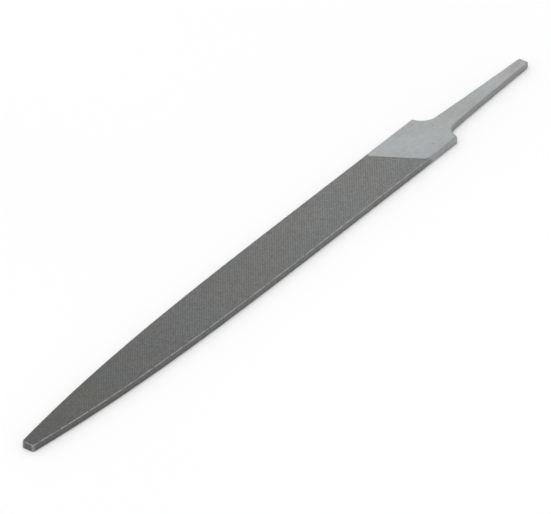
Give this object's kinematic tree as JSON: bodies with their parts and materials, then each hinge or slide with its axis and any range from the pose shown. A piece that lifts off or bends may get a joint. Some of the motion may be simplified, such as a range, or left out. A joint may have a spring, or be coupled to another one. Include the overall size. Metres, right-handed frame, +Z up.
{
  "type": "flat file",
  "caption": "Thin flat hand file with a narrow square point, a bare heel and a tapered tang for a handle.",
  "frame": {"origin": "on the ground under the middle of the whole length, with the file lying flat", "axes": "+X along the file from point to tang, +Y across its width, +Z up out of its upper face"},
  "size_m": [0.1852, 0.0124, 0.0019],
  "materials": {
    "tool_steel": "bare hardened steel, matt where the teeth are cut and finely ground on heel and tang"
  },
  "bodies": {
    "root": {"file_body": "tool_steel"}
  },
  "joints": []
}
